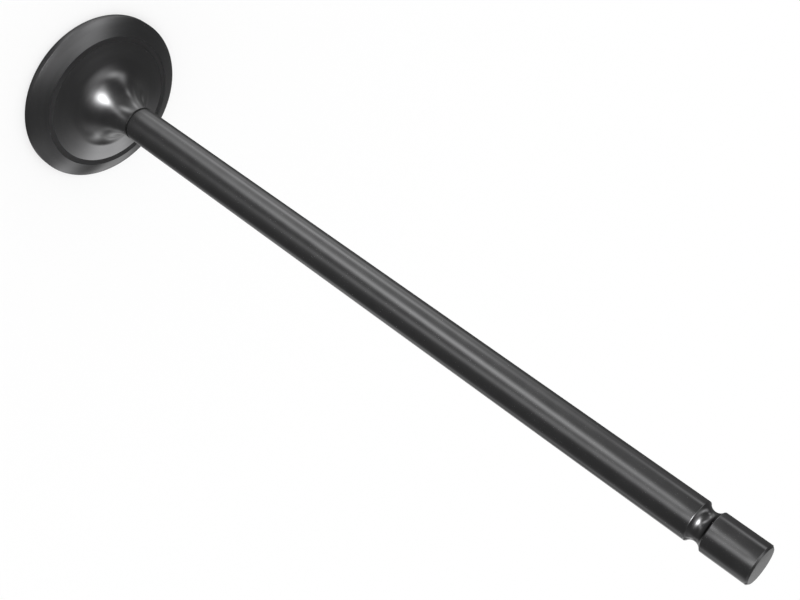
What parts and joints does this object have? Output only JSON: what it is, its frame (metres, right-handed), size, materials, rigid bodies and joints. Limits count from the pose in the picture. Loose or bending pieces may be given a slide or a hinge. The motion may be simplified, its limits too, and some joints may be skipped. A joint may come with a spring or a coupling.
{
  "type": "engine valve",
  "caption": "One-piece poppet valve: ground stem with a keeper groove, flared neck, and a round head with a conical seat.",
  "frame": {"origin": "centre of the combustion face, which is the plane z = 0 that the valve stands on", "axes": "+Z along the valve's axis from the head to the stem tip; X and Y are any two directions across it, because the valve is turned about Z"},
  "size_m": [0.0276, 0.0276, 0.1257],
  "materials": {
    "valve_steel": "dark polished steel, ground along the stem and turned on the head"
  },
  "bodies": {
    "root": {"valve": "valve_steel"}
  },
  "joints": []
}
